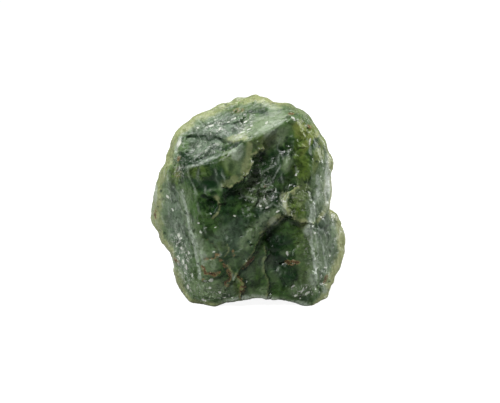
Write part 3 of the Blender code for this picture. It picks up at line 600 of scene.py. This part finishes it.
def shapeSkin(skin):
    mesh = skin.data
    points = readPoints(mesh)
    normals = readPoints(mesh, "normal")
    seen = seenFromAll(points, normals)
    height = np.zeros(len(points))
    rim, strengths = rimNearness(points, normals)
    wobbleA = noiseField(points, stone["waver"], (4, 1, 7))
    wobbleB = noiseField(points, stone["waver"], (9, 3, 2))
    fine = noiseField(points, stone["fineWaver"], (1, 8, 5))
    right, up, facing = seen["front"]
    right = right + wobbleA * 0.5
    up = up + wobbleB * 0.5
    front = ease(facing, -0.2, 0.1)
    for name, line in ledges.items():
        lowSide, lip, groove, _, _, _ = ledgeLook[name]
        away, sign = lineDistance(right, up, line)
        lower = sign * lowSide
        height += front * lip * (lower < 0) * np.exp(-(away / stone["lipSpread"]) ** 2)
        height -= front * groove * (lower >= 0) * np.exp(-(away / stone["crackSpread"]) ** 2)
    for side, line, width, depth, _ in cracks:
        right, up, facing = seen[side]
        away, _ = lineDistance(right + wobbleA * 0.7, up + wobbleB * 0.7, line)
        height -= ease(facing, 0, 0.25) * depth * np.exp(-(away / width) ** 2)
        height += ease(facing, 0, 0.25) * depth * 0.4 * np.exp(-((away - 2.2 * width) / width) ** 2)
    for side, middle, half, turned, depth in dents:
        right, up, facing = seen[side]
        reach = ellipseReach(right, up, middle, half, turned)
        height -= ease(facing, 0, 0.25) * depth * np.exp(-(reach ** 2) * 1.1)
    rough = np.full(len(points), 0.7)
    for side, middle, half, turned, share in roughZones:
        right, up, facing = seen[side]
        part = (1 - ease(ellipseReach(right, up, middle, half, turned), 0.7, 1.3)) * ease(facing, 0.2, 0.5)
        rough += (share - rough) * part
    rough *= np.clip(1 + 0.7 * noiseField(points, 7, (2, 2, 6)), 0.5, 1.5)
    rough *= 1 - 0.5 * ease(rim, 0.1, 0.7)  # the thin edges are worn
    height += stone["hackle"] * rough * planeField(points, stone["hackleLength"], 3.0)
    height += stone["grain"] * rough * planeField(points, stone["grainLength"], 8.0)
    waves = noiseField(points, stone["scallopLength"], (5, 9, 9))
    height += stone["scallop"] * ease(rim, 0.0, 0.7) * (waves - 0.1)
    # long fine lines down the left face
    right, up, facing = seen["left"]
    across, along = leaning(right, up)
    lines = np.array([noise.noise(Vector((a / 0.9, b / 9.0, 3.3))) for a, b in zip(across, along)])
    height += stone["striation"] * lines * ease(facing, 0.6, 0.85)
    level = ease(points[:, 2] / mm, 0.2, 1.5)  # the underside stays flat
    points = points + normals * (height * mm * level)[:, None]
    points[:, 2] = np.maximum(points[:, 2], 0.0)
    writePoints(mesh, points)
    return wobbleA, wobbleB, fine, rim, strengths


def tintSkin(skin, wobbleA, wobbleB, fine, rim, strengths):
    mesh = skin.data
    points = readPoints(mesh)
    normals = readPoints(mesh, "normal")
    broad = noiseField(points, 5, (6, 6, 1))
    seen = seenFromAll(points, normals)
    tints = {tint: np.zeros(len(points)) for tint in (*frontPatches, "chip")}

    def lay(tint, values):
        tints[tint] = np.maximum(tints[tint], values)

    rows = [(tint, "front", *row) for tint, group in frontPatches.items() for row in group] + sidePatches
    for i, (atRight, atUp) in enumerate(darkGrains):
        rows.append(("crease", "front", atRight, atUp, *grainHalves[i % 3], 37 * i % 90, 0.9))
    for tint, side, atRight, atUp, halfRight, halfUp, turned, strength in rows:
        right, up, facing = seen[side]
        ragged = min(halfRight, halfUp) * 0.35
        raggedRight = right + (wobbleB + broad) * ragged
        raggedUp = up + (wobbleA - broad) * ragged
        reach = ellipseReach(raggedRight, raggedUp, (atRight, atUp), (halfRight, halfUp), turned)
        edge = 1 - ease(reach, 0.55, 1.25)
        lay(tint, edge * strength * ease(facing, 0.0, 0.35))
    right, up, facing = seen["front"]
    right = right + wobbleA * 0.5
    up = up + wobbleB * 0.5
    front = ease(facing, -0.2, 0.1)
    widestLip = 1.7
    for name, line in ledges.items():
        lowSide, _, _, pale, brown, wide = ledgeLook[name]
        away, sign = lineDistance(right, up, line)
        lower = sign * lowSide
        broken = ease(wobbleB * 0.6 + fine * 0.9, -0.3, 0.15)
        # the lip: cream crumbs and a painted highlight
        lip = front * pale * (lower < 0) * (1 - ease(away + wobbleA * wide / widestLip, 0.3 * wide, wide))
        lay("pale", lip * (0.25 + 0.75 * broken))
        # painted shade on the low side of each ledge: a wide dark band, and a darker line right under the
        # step
        lay("deep", front * 0.9 * (lower >= 0) * (1 - ease(away, 0.3, 1.5)))
        lay("crease", front * 0.9 * (lower >= 0) * (1 - ease(away, 0.1, 0.55)))
        lay("rust", front * brown * (1 - ease(away + fine * 0.8, 0.1, 0.7)))
    for side, line, width, _, brown in cracks:
        right, up, facing = seen[side]
        away, _ = lineDistance(right + wobbleA * 0.7, up + wobbleB * 0.7, line)
        shown = ease(facing, 0, 0.25)
        # painted shade down each crack
        lay("crease", shown * 0.8 * (1 - ease(away, 0.2 * width, 1.1 * width)))
        lay("rust", shown * brown * (1 - ease(away + fine * 0.6, 0.3, 1.2 * width)))
    for tint, width, strength, line in streaks:
        right, up, facing = seen["front"]
        away, _ = lineDistance(right + wobbleA * 0.4, up + wobbleB * 0.4, line)
        thin = (1 - ease(away, 0.5 * width, 1.5 * width)) * ease(wobbleB + fine, -0.9, -0.1)
        lay(tint, thin * strength * ease(facing, 0.0, 0.3))
    for side, rows in chips.items():
        right, up, facing = seen[side]
        for atRight, atUp, halfRight, halfUp, turned in rows:
            half = (halfRight + 0.12, halfUp + 0.12)
            reach = ellipseReach(right + wobbleA * 0.3, up + wobbleB * 0.3, (atRight, atUp), half, turned)
            lay("chip", (1 - ease(reach, 0.7, 1.25)) * ease(facing, 0.0, 0.3))
    # painted satin sheen in fine lines down the left face
    right, up, facing = seen["left"]
    across, along = leaning(right, up)
    across = across + 0.5 * broad + 0.3 * wobbleA
    paintedSatinSheen = np.array([noise.noise(Vector((a / 0.75, b / 4.5, 9.3))) for a, b in zip(across, along)])
    paintedSatinSheen = ease(paintedSatinSheen, 0.05, 0.5) * ease(facing, 0.6, 0.85) * ease(broad, -0.3, 0.2) * 0.45
    lay("sheen", paintedSatinSheen)
    # painted glow of light through the thin rim, clouded green where it turns to the flanks
    inner = ease(rim + 0.3 * broad, -0.9, 0.1)
    lay("mist", inner * 0.65)
    band = ease(rim + 0.45 * broad + 0.2 * wobbleA + 0.12 * fine, -0.25, 0.45)
    _, _, facing = seen["front"]
    clouded = 1 - 0.75 * (1 - ease(facing, -0.1, 0.35)) * ease(noiseField(points, 7.5, (3, 7, 7)), -0.15, 0.2)
    lay("pale", band * strengths * clouded)
    tints["frost"] *= 1 - 0.85 * tints["crease"]  # few flecks in the shadows
    for name, values in tints.items():
        paint(mesh, name, values)


def jadeMaterial():
    material = bpy.data.materials.new("jade")
    material.use_nodes = True
    nodes = material.node_tree.nodes
    links = material.node_tree.links
    nodes.clear()
    out = nodes.new("ShaderNodeOutputMaterial")
    shader = nodes.new("ShaderNodeBsdfPrincipled")
    shader.inputs["IOR"].default_value = stone["ior"]
    shader.inputs["Specular IOR Level"].default_value = stone["gloss"]
    shader.inputs["Subsurface Weight"].default_value = stone["inside"]
    shader.inputs["Subsurface Radius"].default_value = (0.7, 1.0, 0.6)
    shader.inputs["Subsurface Scale"].default_value = stone["insideDepth"]
    links.new(shader.outputs["BSDF"], out.inputs["Surface"])
    place = nodes.new("ShaderNodeTexCoord")

    def tint(name):
        node = nodes.new("ShaderNodeAttribute")
        node.attribute_name = name
        return node.outputs["Fac"]

    def cloud(scale, detail, roughness, distortion=0.0, vector=place.outputs["Object"]):
        node = nodes.new("ShaderNodeTexNoise")
        node.inputs["Scale"].default_value = scale
        node.inputs["Detail"].default_value = detail
        node.inputs["Roughness"].default_value = roughness
        node.inputs["Distortion"].default_value = distortion
        links.new(vector, node.inputs["Vector"])
        return node.outputs["Fac"]

    def stretched(scale, turn, stretch):
        turned = nodes.new("ShaderNodeMapping")
        turned.inputs["Rotation"].default_value = turn
        turned.inputs["Scale"].default_value = stretch
        links.new(place.outputs["Object"], turned.inputs["Vector"])
        return cloud(scale, 3, 0.7, 0.6, turned.outputs["Vector"])

    def between(value, low, high, bottom=0.0, top=1.0):
        node = nodes.new("ShaderNodeMapRange")
        node.interpolation_type = "SMOOTHSTEP"
        node.inputs["From Min"].default_value = low
        node.inputs["From Max"].default_value = high
        node.inputs["To Min"].default_value = bottom
        node.inputs["To Max"].default_value = top
        links.new(value, node.inputs["Value"])
        return node.outputs["Result"]

    def reckon(kind, first, second):
        node = nodes.new("ShaderNodeMath")
        node.operation = kind
        for socket, value in zip(node.inputs, (first, second)):
            if isinstance(value, (int, float)):
                socket.default_value = value
            else:
                links.new(value, socket)
        return node.outputs["Value"]

    def brokenTint(name, values):
        return reckon("MULTIPLY", tint(name), values)

    def blend(part, under, over, kind="MIX"):
        node = nodes.new("ShaderNodeMix")
        node.data_type = "RGBA"
        node.blend_type = kind
        for name, kept, value in (("Factor", "VALUE", part), ("A", "RGBA", under), ("B", "RGBA", over)):
            target = [socket for socket in node.inputs if (socket.name, socket.type) == (name, kept)][0]
            if isinstance(value, (int, float, tuple)):
                target.default_value = value
            else:
                links.new(value, target)
        return [socket for socket in node.outputs if socket.type == "RGBA"][0]

    clouds = cloud(95, 8, 0.62, 0.4)
    mottle = cloud(280, 3, 0.55, 0.8)
    specks = cloud(1300, 4, 0.7, 0.3)
    colour = blend(between(clouds, 0.38, 0.60), stone["deepGreen"], stone["midGreen"])
    greyPart = brokenTint("grey", between(clouds, 0.35, 0.55, 0.6, 1.0))
    colour = blend(greyPart, colour, stone["greyGreen"])
    olivePart = brokenTint("olive", between(mottle, 0.35, 0.6, 0.5, 1.0))
    colour = blend(olivePart, colour, stone["olive"])
    # the darkest greens, with painted shade in the hollows and under the steps
    darkShadePart = brokenTint("deep", between(mottle, 0.42, 0.66, 1.0, 0.35))
    colour = blend(darkShadePart, colour, stone["deepGreen"])
    colour = blend(1.0, colour, between(mottle, 0.34, 0.66, 0.65, 1.35), "MULTIPLY")
    # painted glow of light through thin stone, and painted light on dim faces, corners and edges
    glowPart = brokenTint("mist", between(mottle, 0.30, 0.62, 0.65, 1.0))
    colour = blend(glowPart, colour, stone["mist"])
    mossPart = brokenTint("moss", between(mottle, 0.32, 0.60, 0.55, 1.0))
    colour = blend(mossPart, colour, stone["moss"])
    # cream crumbs, painted highlights on ledge lips, and the painted glow of light through the thin rim
    creamGlowPart = brokenTint("pale", between(mottle, 0.30, 0.50, 0.72, 1.0))
    colour = blend(creamGlowPart, colour, stone["creamAndGlow"])
    grains = between(cloud(640, 2, 0.5), 0.66, 0.72)
    grains = reckon("MULTIPLY", grains, reckon("MAXIMUM", tint("mist"), tint("pale")))
    # painted shade of hollows, steps and cracks, and the real dark grains
    shadeGrainPart = brokenTint("crease", between(specks, 0.25, 0.55, 0.75, 1.0))
    shadeGrainPart = reckon("MAXIMUM", shadeGrainPart, reckon("MULTIPLY", grains, 0.7))
    colour = blend(shadeGrainPart, colour, stone["deepGreen"])
    # painted highlights and sheen, with some real whitish scratches
    sheenScratchPart = brokenTint("sheen", between(specks, 0.3, 0.6, 0.5, 1.0))
    colour = blend(sheenScratchPart, colour, stone["sheen"])
    colour = blend(1.0, colour, between(specks, 0.32, 0.68, 0.84, 1.16), "MULTIPLY")
    rustPart = brokenTint("rust", between(cloud(900, 4, 0.7), 0.36, 0.6))
    colour = blend(between(rustPart, 0.06, 0.42, 0.0, 0.8), colour, stone["tan"])
    colour = blend(between(rustPart, 0.36, 0.62, 0.0, 0.95), colour, stone["rust"])
    # white bruise flecks, partly painted glints
    flecks = between(stretched(1000, (0, 0.5, 0), (0.35, 1, 1)), 0.57, 0.65)
    flecks = reckon("MAXIMUM", flecks, between(stretched(900, (0, 0, 0), (1, 1, 0.4)), 0.60, 0.67))
    fleckGlintPart = brokenTint("frost", flecks)
    crackle = nodes.new("ShaderNodeTexVoronoi")
    crackle.feature = "DISTANCE_TO_EDGE"
    crackle.inputs["Scale"].default_value = stone["crackleScale"]
    warp = nodes.new("ShaderNodeVectorMath")
    warp.operation = "MULTIPLY_ADD"
    warp.inputs[1].default_value = [stone["crackleWarp"]] * 3
    warpCloud = nodes.new("ShaderNodeTexNoise")
    warpCloud.inputs["Scale"].default_value = 260
    warpCloud.inputs["Detail"].default_value = 4
    links.new(place.outputs["Object"], warpCloud.inputs["Vector"])
    links.new(warpCloud.outputs["Color"], warp.inputs[0])
    links.new(place.outputs["Object"], warp.inputs[2])
    links.new(warp.outputs["Vector"], crackle.inputs["Vector"])
    hair = between(crackle.outputs["Distance"], 0.0, 0.06, 1.0, 0.0)
    hairPart = reckon("MULTIPLY", reckon("MULTIPLY", hair, tint("frost")), between(specks, 0.48, 0.62))
    chipPart = between(reckon("ADD", tint("chip"), reckon("MULTIPLY", specks, 0.9)), 0.88, 1.04)
    whitePart = reckon("MAXIMUM", reckon("MAXIMUM", fleckGlintPart, hairPart), chipPart)
    colour = blend(whitePart, colour, stone["frost"])
    links.new(colour, shader.inputs["Base Color"])
    rough = between(mottle, 0.3, 0.7, stone["roughness"] - 0.08, stone["roughness"] + 0.12)
    rough = reckon("SUBTRACT", rough, reckon("MULTIPLY", tint("deep"), 0.06))
    links.new(rough, shader.inputs["Roughness"])
    bump = nodes.new("ShaderNodeBump")
    bump.inputs["Strength"].default_value = stone["pitting"]
    bump.inputs["Distance"].default_value = stone["pittingHeight"]
    relief = reckon("ADD", cloud(520, 4, 0.55, 0.8), reckon("MULTIPLY", mottle, 0.8))
    relief = reckon("MULTIPLY", relief, between(tint("deep"), 0.0, 1.0, 1.0, 0.4))
    links.new(relief, bump.inputs["Height"])
    links.new(bump.outputs["Normal"], shader.inputs["Normal"])
    return material


lamps = {
    "overhead": {"place": (-0.05, 0.22, 0.55), "size": (0.4, 0.28), "power": 1.95},
    "leftBox": {"place": (-0.5, -0.12, 0.22), "size": (0.2, 0.35), "power": 0.8},
    "rightBack": {"place": (0.45, 0.12, 0.18), "size": (0.12, 0.35), "power": 1.7},
    "glints": {"place": (-0.2, -0.3, 0.5), "size": (0.14, 0.1), "power": 1.85},
}
studioLook = {
    "lampAim": (0, 0, 0.035),
    "floorSize": 3.0,
    "paper": (0.30, 0.30, 0.30, 1),
    "paperGlow": 0.92,  # the paper looks white without lighting the stone
    "roomLight": 0.06,
    "roomSeen": 1.05,  # as white as the paper, so that no horizon shows
}


def areaLight(name, place, size, power):
    wipeSelection()
    bpy.ops.object.light_add(type="AREA", location=place)
    lamp = bpy.context.object
    lamp.name = name
    lamp.data.shape = "RECTANGLE"
    lamp.data.size, lamp.data.size_y = size
    lamp.data.energy = power
    aim = Vector(studioLook["lampAim"]) - Vector(place)
    lamp.rotation_euler = aim.to_track_quat("-Z", "Y").to_euler()


def studio():
    wipeSelection()
    bpy.ops.mesh.primitive_plane_add(size=studioLook["floorSize"], location=(0, 0, 0))
    floor = bpy.context.object
    floor.name = "floor"
    paper = bpy.data.materials.new("paper")
    paper.use_nodes = True
    shader = paper.node_tree.nodes["Principled BSDF"]
    shader.inputs["Base Color"].default_value = studioLook["paper"]
    shader.inputs["Roughness"].default_value = 1.0
    shader.inputs["Specular IOR Level"].default_value = 0.0
    shader.inputs["Emission Color"].default_value = (1, 1, 1, 1)
    seenBy = paper.node_tree.nodes.new("ShaderNodeLightPath")
    glow = paper.node_tree.nodes.new("ShaderNodeMath")
    glow.operation = "MULTIPLY"
    glow.inputs[1].default_value = studioLook["paperGlow"]
    paper.node_tree.links.new(seenBy.outputs["Is Camera Ray"], glow.inputs[0])
    paper.node_tree.links.new(glow.outputs["Value"], shader.inputs["Emission Strength"])
    floor.data.materials.append(paper)
    world = bpy.data.worlds.new("studio")
    bpy.context.scene.world = world
    world.use_nodes = True
    nodes = world.node_tree.nodes
    links = world.node_tree.links
    light = nodes["Background"]
    light.inputs["Color"].default_value = (1, 1, 1, 1)
    light.inputs["Strength"].default_value = studioLook["roomLight"]
    seen = nodes.new("ShaderNodeBackground")
    seen.inputs["Color"].default_value = (1, 1, 1, 1)
    seen.inputs["Strength"].default_value = studioLook["roomSeen"]
    path = nodes.new("ShaderNodeLightPath")
    pick = nodes.new("ShaderNodeMixShader")
    links.new(path.outputs["Is Camera Ray"], pick.inputs[0])
    links.new(light.outputs["Background"], pick.inputs[1])
    links.new(seen.outputs["Background"], pick.inputs[2])
    links.new(pick.outputs["Shader"], nodes["World Output"].inputs["Surface"])
    for name, lamp in lamps.items():
        areaLight(name, lamp["place"], lamp["size"], lamp["power"])
    bpy.context.scene.view_settings.view_transform = "Standard"


viewFrom = {
    "tilt": 18,  # degrees above level
    "aim": (0.00045, -0.00075, 0.0309),
    "distance": 0.486,
    "lens": 100,
}


def camera():
    wipeSelection()
    tilt = math.radians(viewFrom["tilt"])
    back = Vector((0, -math.cos(tilt), math.sin(tilt)))
    bpy.ops.object.camera_add(location=Vector(viewFrom["aim"]) + back * viewFrom["distance"])
    view = bpy.context.object
    view.rotation_euler = (-back).to_track_quat("-Z", "Y").to_euler()
    view.data.lens = viewFrom["lens"]
    view.data.sensor_width = 36
    view.data.clip_start = 0.01
    view.data.clip_end = 10
    bpy.context.scene.camera = view


skin = copySkin()
print("skin copied:", len(skin.data.polygons), "faces")
wobbles = shapeSkin(skin)
print("relief shaped")
tintSkin(skin, *wobbles)
print("colours laid")
skin.data.materials.clear()
skin.data.materials.append(jadeMaterial())
makeActive(skin)
bpy.ops.object.shade_smooth_by_angle(angle=math.radians(stone["sharpAngle"]))
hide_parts("jade_boulder")
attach(skin, "root")
studio()
camera()
print("studio set")
